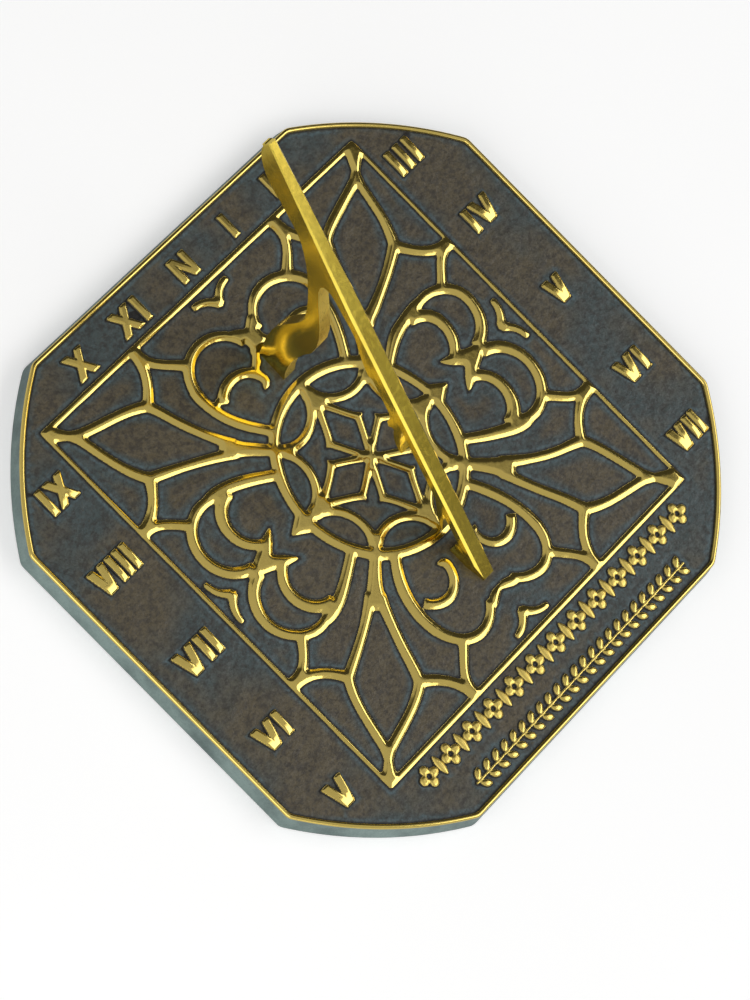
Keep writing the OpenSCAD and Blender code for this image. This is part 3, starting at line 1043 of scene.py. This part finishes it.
    def face(self, maker: MeshMaker) -> tuple[Array, list[Array]]:
        """Adds the tracery, the ground round it and the rim.

        Args:
            maker: Where the surfaces are added.

        Returns:
            Numbers of the outermost vertices in order, and of each screw hole's ring.
        """
        reach = self.frame_half * (1 + self.margin_cells / self.frame_cells)
        work = DistanceField((-reach, -reach), (reach, reach), self.frame_half / self.frame_cells)
        work.add(self.carved(self.tracery()))
        for neck in self.necks:
            work.add(sides(neck))
        work.soften(sigma=0.5)
        work.waver(size=7.0, amount=0.05, seed=11)
        skin = work.skin()
        place = skin.points + FRAME_MIDDLE
        maker.vertices(place, FACE_Z + self.relief.rise(skin.edge), skin.edge)
        maker.cover(skin.faces, 0, self.relief.normals(skin))

        foot = np.unique(skin.outline)
        rings = [self.outline(-self.rim_w), *self.screw_rings()]
        extra = np.concatenate([*rings, self.spots(work)])
        number = np.concatenate([foot, maker.vertices(extra, FACE_Z, self.near_raised(extra, work))])
        loops = loops_after(len(foot), *rings)
        ground = triangulate(
            np.concatenate([place[foot], extra]),
            np.concatenate([np.searchsorted(foot, skin.outline), *map(sides, loops)]),
            lambda p: (work.sample(p - FRAME_MIDDLE) < 0) & (self.from_rim(p) < 0) & self.off_screws(p))
        maker.cover(renumber(ground, number), 0, np.tile([0.0, 0.0, 1.0], (maker.count, 1)))
        foot_ring, *holes = (number[loop] for loop in loops)
        return self.rim(maker, foot_ring), holes

    def rim(self, maker: MeshMaker, foot: Array) -> Array:
        """Adds the half round rim.

        Args:
            maker: Where the surface is added.
            foot: Numbers of the ring at its inner foot.

        Returns:
            Numbers of the ring at its outer side.
        """
        last, half = foot, self.rim_w / 2
        for turn in np.linspace(0, math.pi, 9):
            z = FACE_Z + self.rim_foot + (self.relief.height - self.rim_foot) * math.sin(turn)
            ring = maker.vertices(self.outline(-half - half * math.cos(turn)), z, 0.3 + half * math.sin(turn))
            last = maker.strip(last, ring)
        return last

    def back(self, maker: MeshMaker, outer: Array, holes: list[Array]) -> None:
        """Adds the walls, the hollow back, the pedestal boss and the screw holes.

        Args:
            maker: Where the surfaces are added.
            outer: Numbers of the rim's outermost vertices, anticlockwise.
            holes: Numbers of the screw holes' rings in the face.
        """
        ceiling = FACE_Z - self.floor_t
        wall = [(self.draft * (1 - z / FACE_Z), z) for z in (7.5, 5.2, 2.6, 0.7)]
        wall += [(self.draft - 0.12, 0.22), (self.draft - 0.5, 0.0)]
        skirt = ((0.6, 0.0), (0.1, 0.25), (0.0, 0.8), (0.0, ceiling - 1.2), (-0.35, ceiling - 0.35),
                 (-1.2, ceiling))
        last = outer
        for k, (grow, z) in enumerate(wall + [(inward - self.skirt_t, z) for inward, z in skirt]):
            line = self.outline(grow)
            last = maker.strip(last, maker.vertices(line, z), 1 if k < len(wall) - 1 else 2)

        gx, gy = np.meshgrid(np.arange(-120, 121, 9.0), np.arange(-108, 109, 9.0))
        grid = np.stack([gx.ravel(), gy.ravel()], -1)
        boss_gap = np.hypot(*(grid - FRAME_MIDDLE).T)
        keep = (self.from_rim(grid) < self.rim_w - self.skirt_t - 4) & (boss_gap > self.boss_r + 3)
        rings = [self.ring(FRAME_Y, self.boss_r + 0.8, 48), *self.screw_rings()]
        flat = np.concatenate([*rings, grid[keep & self.off_screws(grid, 2)]])
        number = np.concatenate([last, maker.vertices(flat, ceiling)])
        loops = loops_after(0, line, *rings)
        under = triangulate(
            np.concatenate([line, flat]), np.concatenate([sides(loop) for loop in loops]),
            lambda p: (self.from_rim(p) < self.rim_w - self.skirt_t - 1.2) & self.off_screws(p)
            & (np.hypot(*(p - FRAME_MIDDLE).T) > self.boss_r + 0.7))
        maker.cover(renumber(under, number, -1), 2)
        for low, high in zip(loops[2:], holes):
            maker.strip(number[low], high, 2)
        self.boss(maker, number[loops[1]], ceiling)

    def boss(self, maker: MeshMaker, root: Array, ceiling: float) -> None:
        """Adds the boss under the plate with its tapped hole.

        Args:
            maker: Where the surfaces are added.
            root: Numbers of the ring where the boss leaves the plate.
            ceiling: Height of the hollow back's ceiling.
        """
        lip, top = self.boss_lift, self.boss_lift + self.thread_l
        steps = [(self.boss_r + 0.2, ceiling - 0.3), (self.boss_r, ceiling - 0.9), (self.boss_r, lip + 0.5),
                 (self.boss_r - 0.15, lip + 0.15), (self.boss_r - 0.5, lip), (self.thread_r + 0.7, lip)]
        for k in range(self.thread_turns):
            z = lip + 0.7 + k * (top - lip - 0.9) / self.thread_turns
            steps += [(self.thread_r, z), (self.thread_r - 0.35, z + 0.4)]
        steps += [(self.thread_r - 0.1, top), (1.2, top + 0.4)]
        last = root
        for radius, z in steps:
            last = maker.strip(last, maker.vertices(self.ring(FRAME_Y, radius, len(root)), z), 2)
        tip = maker.vertices(FRAME_MIDDLE[None], top + 0.5)[0]
        maker.cover([(b, a, int(tip)) for a, b in sides(last).tolist()], 2)

    def make(self) -> None:
        """Builds and dresses the plate."""
        maker = MeshMaker()
        self.back(maker, *self.face(maker))
        finishes = [PatinatedFace().make(),
                    CastSkin("green_wall", (0.29, 0.385, 0.36), (0.15, 0.205, 0.195)).make(),
                    CastSkin("cast_back", (0.26, 0.20, 0.11), (0.10, 0.082, 0.055), 0.6).make()]
        finish_piece(maker.build("dial_plate_casting", finishes), Slot.PLATE, "dial_plate")


# Hour marks and ornament


@dataclass(frozen=True)
class Mark:
    """One hour mark: its signs, its sides from the frame's middle and its fall to the south, in mm."""

    signs: str
    west: float
    east: float
    south: float
    north: float
    fall: float = 1.0


MARKS = (
    Mark("X", -64.4, -53.0, 92.6, 104.0, 0.3), Mark("XI", -39.0, -23.2, 92.8, 104.0, 0.3),
    Mark("N", -5.2, 4.6, 93.1, 104.0, 0.3), Mark("I", 23.6, 27.3, 93.0, 103.8, 0.3),
    Mark("II", 48.4, 56.5, 93.0, 103.8, 0.3),
    Mark("III", 93.8, 108.6, 66.2, 77.9), Mark("IV", 100.1, 115.7, 30.8, 41.8),
    Mark("V", 103.6, 113.6, -10.7, 0.5), Mark("VI", 100.7, 115.7, -51.1, -40.3),
    Mark("VII", 96.7, 113.5, -83.6, -72.9),
    Mark("IX", -109.1, -94.3, 64.3, 76.0), Mark("VIII", -117.3, -96.5, 30.2, 41.7),
    Mark("VII", -116.5, -96.7, -12.0, -0.7), Mark("VI", -115.1, -100.0, -50.5, -39.7),
    Mark("V", -110.6, -99.7, -83.5, -72.0),
)


@dataclass
class HourMarks:
    """Raised hour marks on the bands round the frame line, in mm."""

    stroke: float = 3.7
    gap: float = 0.35
    soft: float = 0.26
    relief: Relief = Relief(1.3, 0.9, 0.9)

    def sign(self, letter: str, x0: float, x1: float, y0: float, y1: float) -> list[Outline]:
        """Strokes of one sign in its box.

        Args:
            letter: I, V, X or N.
            x0: West side of the box.
            x1: East side.
            y0: South side.
            y1: North side.

        Returns:
            Polygons in mm.
        """
        w, m = min(self.stroke, x1 - x0), (x0 + x1) / 2
        if letter == "I":
            lo, hi, waist, end = m - w / 2, m + w / 2, 0.22, 1.1
            return [[(lo, y0), (hi, y0), (hi - waist, y0 + end), (hi - waist, y1 - end), (hi, y1), (lo, y1),
                     (lo + waist, y1 - end), (lo + waist, y0 + end)]]
        if letter == "V":
            t, b = w + 0.25, w * 0.6
            return [[(x0, y1), (x0 + t, y1), (m + b * 0.62, y0), (m - b, y0)],
                    [(x1, y1), (x1 - t + 0.4, y1), (m - b * 0.62, y0), (m + b, y0)]]
        if letter == "X":
            t = w + 0.2
            return [[(x0, y1), (x0 + t, y1), (x1, y0), (x1 - t, y0)],
                    [(x1, y1), (x1 - t, y1), (x0, y0), (x0 + t, y0)]]
        s = w * 0.86
        return [[(x0, y0), (x0 + s, y0), (x0 + s, y1), (x0, y1)],
                [(x1 - s, y0), (x1, y0), (x1, y1), (x1 - s, y1)],
                [(x0, y1), (x0 + s + 0.3, y1), (x1, y0), (x1 - s - 0.3, y0)]]

    def strokes(self, mark: Mark) -> list[Outline]:
        """Strokes of a whole mark, its signs spread over its width.

        Args:
            mark: The mark.

        Returns:
            Polygons in mm.
        """
        share = {"I": self.stroke, "V": 9.8, "X": 10.8, "N": 9.8}
        free = mark.east - mark.west - self.gap * (len(mark.signs) - 1)
        scale = free / sum(share[s] for s in mark.signs)
        x, found = mark.west, []
        for letter in mark.signs:
            wide = share[letter] * scale
            found += self.sign(letter, x, x + wide, mark.south, mark.north)
            x += wide + self.gap
        return found

    def plan(self, mark: Mark) -> DistanceField:
        """Plan of one mark.

        Args:
            mark: The mark.

        Returns:
            Its distance field, measured from the frame's middle.
        """
        free = DistanceField.reach
        found = DistanceField((mark.west - free, mark.south - free), (mark.east + free, mark.north + free))
        for stroke in self.strokes(mark):
            found.add(sides(stroke))
        found.soften(self.soft)
        return found

    def make(self, plans: list[DistanceField]) -> None:
        """Builds and dresses all hour marks as one piece.

        Args:
            plans: Distance field of each mark.
        """
        maker = MeshMaker()
        for mark, plan in zip(MARKS, plans):
            raise_solid(maker, plan, self.relief, FRAME_Y, mark.fall)
        finish_piece(maker.build("hour_marks", [PatinatedFace("rubbed_marks").make()]), Slot.PLATE)


class Motif(Enum):
    """Generic forms of the ornament rows."""

    FLOWER = "flower"
    BUD = "bud"
    SPRAY = "spray"


def leaf(middle: tuple[float, float], length: float, width: float, turn_deg: float) -> Outline:
    """Outline of a pointed leaf.

    Args:
        middle: Its middle in mm.
        length: From point to point.
        width: At its fullest.
        turn_deg: Angle between the leaf and the line of the row.

    Returns:
        The outline.
    """
    turn, found = math.radians(turn_deg), []
    for k in range(48):
        t = math.pi * k / 24
        along, across = length / 2 * math.cos(t), width / 2 * math.sin(t) * abs(math.sin(t)) ** 0.6
        found.append((middle[0] + along * math.cos(turn) - across * math.sin(turn),
                      middle[1] + along * math.sin(turn) + across * math.cos(turn)))
    return found


@dataclass
class OrnamentRow:
    """A row of raised motifs along the south band, repeated by a node tree, in mm."""

    name: str
    motifs: tuple[Motif, ...]
    west: float
    east: float
    middle: float
    count: int
    inset: float = 4.2
    gloss: float = 0.34
    height: float = 9.2
    half_w: float = 10.2
    fall: float = 0.35
    soft: float = 0.22
    relief: Relief = Relief(1.3, 0.75, 1.2)

    def outlines(self, motif: Motif) -> list[list[Outline]]:
        """Outlines of one motif.

        Args:
            motif: The form.

        Returns:
            Groups of outlines centred on the origin, where a second outline is a hole.
        """
        h = self.height / 2
        if motif is Motif.FLOWER:
            turns = [math.pi * k / 24 for k in range(48)]
            petals = [(h * (0.52 + 0.5 * abs(math.cos(2 * t)) ** 0.75), t) for t in turns]
            return [[[(r * math.cos(t), r * math.sin(t)) for r, t in petals],
                     [(math.cos(-t), math.sin(-t)) for t in turns]]]
        if motif is Motif.BUD:
            return [[leaf((0, 0), self.height, 3.3, 90)]]
        stem = [(-2.9, -0.5), (2.9, -0.5), (2.9, 0.5), (-2.9, 0.5)]
        return [[leaf((0.5, 2.35), 5.2, 2.9, 42)], [leaf((0.5, -2.35), 5.2, 2.9, -42)], [stem]]

    def plan(self, motif: Motif) -> DistanceField:
        """Plan of one motif.

        Args:
            motif: The form.

        Returns:
            Its distance field, centred on the origin.
        """
        half_h = self.height / 2 + DistanceField.reach
        found = DistanceField((-self.half_w, -half_h), (self.half_w, half_h))
        for group in self.outlines(motif):
            found.add(np.concatenate([sides(line) for line in group]))
        found.soften(self.soft)
        return found

    def places(self) -> dict[Motif, Array]:
        """Spaces the motifs evenly, each later one between the copies of the first.

        Returns:
            Places of each motif's copies from west to east.
        """
        step = (self.east - self.west - 2 * self.inset) / (self.count - 1)
        first = self.west + self.inset + step * np.arange(self.count)
        return {motif: first[: len(first) - k] + k * step / 2 for k, motif in enumerate(self.motifs)}

    def placed(self) -> list[PlacedPlan]:
        """Places the plan of each copy.

        Returns:
            All plans at their places on the plate.
        """
        plans = {motif: self.plan(motif) for motif in self.motifs}
        north = self.middle + FRAME_Y
        return [PlacedPlan(plans[motif], x, north) for motif, xs in self.places().items() for x in xs]

    def tree(self, material: Material) -> bpy.types.NodeTree:
        """Makes the node tree that sets a motif at even steps along a line.

        Args:
            material: Finish of the row.

        Returns:
            The tree, with named inputs.
        """
        tree = bpy.data.node_groups.new(self.name + "_tree", "GeometryNodeTree")
        for label, way, kind in (("Motif", "INPUT", "Geometry"), ("Count", "INPUT", "Int"),
                                 ("Start", "INPUT", "Vector"), ("Step", "INPUT", "Vector"),
                                 ("Row", "OUTPUT", "Geometry")):
            tree.interface.new_socket(label, in_out=way, socket_type="NodeSocket" + kind)
        given, row = tree.nodes.new("NodeGroupInput"), tree.nodes.new("NodeGroupOutput")
        line, place, real, dress = (tree.nodes.new("GeometryNode" + kind) for kind in (
            "MeshLine", "InstanceOnPoints", "RealizeInstances", "SetMaterial"))
        dress.inputs["Material"].default_value = material
        for giver, out, taker, into in (
                (given, "Count", line, "Count"), (given, "Start", line, "Start Location"),
                (given, "Step", line, "Offset"), (line, "Mesh", place, "Points"),
                (given, "Motif", place, "Instance"),
                (place, "Instances", real, "Geometry"), (real, "Geometry", dress, "Geometry"),
                (dress, "Geometry", row, "Row")):
            tree.links.new(giver.outputs[out], taker.inputs[into])
        return tree

    def repeat(self, motif: Motif, places: Array, material: Material) -> Thing:
        """Makes one motif and repeats it along the row.

        Args:
            motif: The form.
            places: Places of its copies along the row.
            material: Finish of the row.

        Returns:
            A plain mesh object.
        """
        name = f"{self.name}_{motif.value}"
        maker = MeshMaker()
        raise_solid(maker, self.plan(motif), self.relief, fall=self.fall)
        single = maker.build(name, [material])
        modifier = single.modifiers.new("row", "NODES")
        modifier.node_group = self.tree(material)
        given = {"Count": len(places), "Start": (float(places[0]) * MM, (self.middle + FRAME_Y) * MM, 0.0),
                 "Step": (float(places[1] - places[0]) * MM, 0.0, 0.0)}
        for socket in modifier.node_group.interface.items_tree:
            if socket.name in given:
                modifier[socket.identifier] = given[socket.name]
        plain = modified_mesh(single)
        bpy.data.objects.remove(single)
        return place_in_scene(name, plain)

    def make(self) -> None:
        """Builds and dresses the row as one piece."""
        material = PatinatedFace("rubbed_" + self.name, gloss=self.gloss).make()
        rows = [self.repeat(motif, places, material) for motif, places in self.places().items()]
        if len(rows) > 1:
            with bpy.context.temp_override(active_object=rows[0], selected_editable_objects=rows):
                bpy.ops.object.join()
        row = rows[0]
        row.name = row.data.name = self.name
        finish_piece(row, Slot.PLATE)


# The gnomon


@dataclass
class GnomonCasting:
    """Cast gnomon with softened edges, polished but for the inner side of its leg."""

    soft_mm: float = 0.26
    steps: int = 3
    merge_m: float = 2e-6
    flat_deg: float = 0.5
    sharp_deg: float = 22.0
    leg_south: float = 20.0
    side_area: float = 3e-7

    def soften(self, thing: Thing) -> bpy.types.Mesh:
        """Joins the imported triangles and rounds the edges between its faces.

        Args:
            thing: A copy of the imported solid.

        Returns:
            The softened mesh.
        """
        made = bmesh.new()
        made.from_mesh(thing.data)
        bmesh.ops.remove_doubles(made, verts=made.verts, dist=self.merge_m)
        bmesh.ops.dissolve_limit(made, angle_limit=math.radians(self.flat_deg),
                                 verts=made.verts, edges=made.edges)
        made.to_mesh(thing.data)
        made.free()
        thing.data.shade_smooth()
        round_off = thing.modifiers.new("soft_edges", "BEVEL")
        round_off.width, round_off.segments = self.soft_mm * MM, self.steps
        round_off.limit_method, round_off.angle_limit = "ANGLE", math.radians(self.sharp_deg)
        round_off.miter_outer = "MITER_ARC"
        thing.modifiers.new("shading", "WEIGHTED_NORMAL")
        return modified_mesh(thing)

    def make(self) -> None:
        """Builds and dresses the gnomon."""
        thing = place_in_scene("gnomon_casting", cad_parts["gnomon"].data.copy())
        thing.data = mesh = self.soften(thing)
        mesh.name = thing.name
        mesh.materials.clear()
        polished = PolishedBrass("polished_gnomon", (0.86, 0.66, 0.10), (0.78, 0.58, 0.085))
        cast = CastSkin("gnomon_cast_side", (0.95, 0.76, 0.2), (0.5, 0.34, 0.06), 1.0, (0.25, 0.5), 0.5)
        for finish in (polished, cast):
            mesh.materials.append(finish.make())
        for face in mesh.polygons:
            south = face.normal.y < -0.55 and face.center.y > self.leg_south * MM
            face.material_index = int(south and face.area > self.side_area)
        finish_piece(thing, Slot.GNOMON, "gnomon")


# Camera, light and floor


def toward(azimuth: float, elevation: float) -> Vector:
    """Direction from the sundial, in degrees anticlockwise from east and up from level."""
    az, el = math.radians(azimuth), math.radians(elevation)
    return Vector((math.cos(az) * math.cos(el), math.sin(az) * math.cos(el), math.sin(el)))


@dataclass(frozen=True)
class PhotoView:
    """Camera that sees the sundial as the photograph does, in degrees, pixels and lengths of unit_mm."""

    unit_mm: float = 88.93
    target: tuple[float, float, float] = (0.0, FRAME_Y, FACE_Z)
    azimuth: float = 177.815
    elevation: float = 62.001
    roll: float = 47.335
    distance: float = 18.692
    aside: tuple[float, float] = (0.018, -0.179)
    focal_px: float = 4493.1
    height_px: int = 1000
    sensor_mm: float = 36.0

    def make(self) -> None:
        """Adds the camera to the scene."""
        back, roll = toward(self.azimuth, self.elevation), math.radians(self.roll)
        level = (-back).cross(Vector((0, 0, 1))).normalized()
        above = level.cross(-back)
        right = math.cos(roll) * level + math.sin(roll) * above
        up = math.cos(roll) * above - math.sin(roll) * level
        place = back * self.distance + right * self.aside[0] + up * self.aside[1]
        place = (place * self.unit_mm + Vector(self.target)) * MM
        data = bpy.data.cameras.new("photo_view")
        data.sensor_width = self.sensor_mm
        data.lens = self.focal_px / self.height_px * self.sensor_mm
        data.clip_start, data.clip_end = 0.05, 100.0
        camera = place_in_scene("photo_view", data)
        camera.matrix_world = Matrix.Translation(place) @ Matrix((right, up, back)).transposed().to_4x4()
        bpy.context.scene.camera = camera


@dataclass(frozen=True)
class SoftBox:
    """A lamp behind a flat diffuser that faces the sundial: sizes in metres, brightness as a white card's."""

    name: str
    azimuth: float
    elevation: float
    distance: float
    width: float
    height: float
    brightness: float

    def make(self) -> None:
        """Adds the lamp."""
        lamp = bpy.data.lights.new(self.name, "AREA")
        lamp.shape, lamp.size, lamp.size_y = "RECTANGLE", self.width, self.height
        lamp.energy = self.brightness * math.pi * self.width * self.height
        thing = place_in_scene(self.name, lamp)
        back = toward(self.azimuth, self.elevation)
        thing.location = back * self.distance
        thing.rotation_mode = "QUATERNION"
        thing.rotation_quaternion = back.to_track_quat("Z", "Y")
        thing.visible_camera = False


@dataclass
class Studio:
    """Pale floor and plain soft light, with the room darker to the east and north."""

    floor_colour: Colour = (0.88, 0.88, 0.875)
    floor_half: float = 6.0
    floor_z: float = -0.00002
    floor_seen: float = 0.33
    room_grey: float = 0.47
    dark_grey: float = 0.05
    boxes: tuple[SoftBox, ...] = (
        SoftBox("south_box", -50, 41.5, 3.0, 3.8, 1.66, 2.35),
        SoftBox("west_box", 180, 30, 1.5, 1.7, 1.0, 1.4),
        SoftBox("low_card", -137, 8, 1.5, 0.75, 0.3, 1.1),
    )

    def floor(self) -> None:
        """Adds the floor."""
        maker = MeshMaker()
        corners = np.array([(-1, -1), (1, -1), (1, 1), (-1, 1)]) * self.floor_half
        maker.cover([tuple(maker.vertices(corners / MM, self.floor_z / MM).tolist())])
        material, s = new_material("pale_floor")
        shade = tuple(0.98 * c for c in self.floor_colour)
        tone = Stain(shade, 3, 2, 0.55, 0.3, 0.7).over(s, self.floor_colour)
        seen = s.math("MULTIPLY", s.add("ShaderNodeLightPath").outputs["Is Camera Ray"], self.floor_seen)
        s.surface(Base_Color=tone, Roughness=0.9, Specular_IOR_Level=0.1, Emission_Color=(1, 1, 1),
                  Emission_Strength=seen)
        maker.build("floor", [material])

    def room(self) -> None:
        """Adds the room's light: even grey, with a dark wall low to the east and north."""
        world = bpy.data.worlds.new("studio")
        world.use_nodes = True
        s = Shader(world.node_tree)
        place = s.add("ShaderNodeTexCoord").outputs["Generated"]
        x, y, z = s.add("ShaderNodeSeparateXYZ", Vector=place).outputs
        level = s.math("SQRT", s.math("ADD", s.math("MULTIPLY", x, x), s.math("MULTIPLY", y, y)))
        level = s.math("MAXIMUM", level, 0.001)
        east = s.ramp(s.math("DIVIDE", x, level), 0.0, 0.3)
        north = s.ramp(s.math("DIVIDE", y, level), -0.75, -0.5, 0.67, 1.0)
        under = s.ramp(s.math("SUBTRACT", z, s.ramp(y, -0.15, 0.05, 0.0, 0.03)), 0.845, 0.862, 1.0, 0.0)
        above = s.ramp(z, 0.0, 0.08)
        dark = s.math("MULTIPLY", s.math("MULTIPLY", east, under), s.math("MULTIPLY", above, north))
        grey = s.ramp(dark, 0.0, 1.0, self.room_grey, self.dark_grey)
        colour = s.add("ShaderNodeCombineColor", Red=grey, Green=grey, Blue=grey)
        s.feed(world.node_tree.nodes["Background"], Color=colour.outputs[0])
        bpy.context.scene.world = world

    def make(self) -> None:
        """Adds the floor, the room and the lamps."""
        self.floor()
        self.room()
        for box in self.boxes:
            box.make()


def main() -> None:
    """Builds the pieces in order and sets the stage."""
    bpy.context.scene.view_settings.view_transform = "Standard"
    PhotoView().make()
    marks = HourMarks()
    plans = [marks.plan(mark) for mark in MARKS]
    rows = (OrnamentRow("ornament_row_inner", (Motif.FLOWER, Motif.BUD), -79.6, 80.7, -97.0, 13),
            OrnamentRow("ornament_row_outer", (Motif.SPRAY,), -64.0, 63.6, -111.5, 24, inset=2.9, gloss=0.22))
    raised = [PlacedPlan(plan, north=FRAME_Y) for plan in plans]
    raised += [placed for row in rows for placed in row.placed()]
    PlateCasting(tuple(raised)).make()
    marks.make(plans)
    for row in rows:
        row.make()
    GnomonCasting().make()
    steel = CastSkin("spring_steel", (0.42, 0.42, 0.41), (0.26, 0.26, 0.255), 1.0)
    brass = PolishedBrass("turned_brass", (0.80, 0.60, 0.22), (0.66, 0.48, 0.16), 0.22)
    for node, finish in (("gnomon_washers", steel), ("gnomon_screws", brass)):
        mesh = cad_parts[node].data
        mesh.materials.clear()
        mesh.materials.append(finish.make())
    Studio().make()


if __name__ == "__main__":
    main()
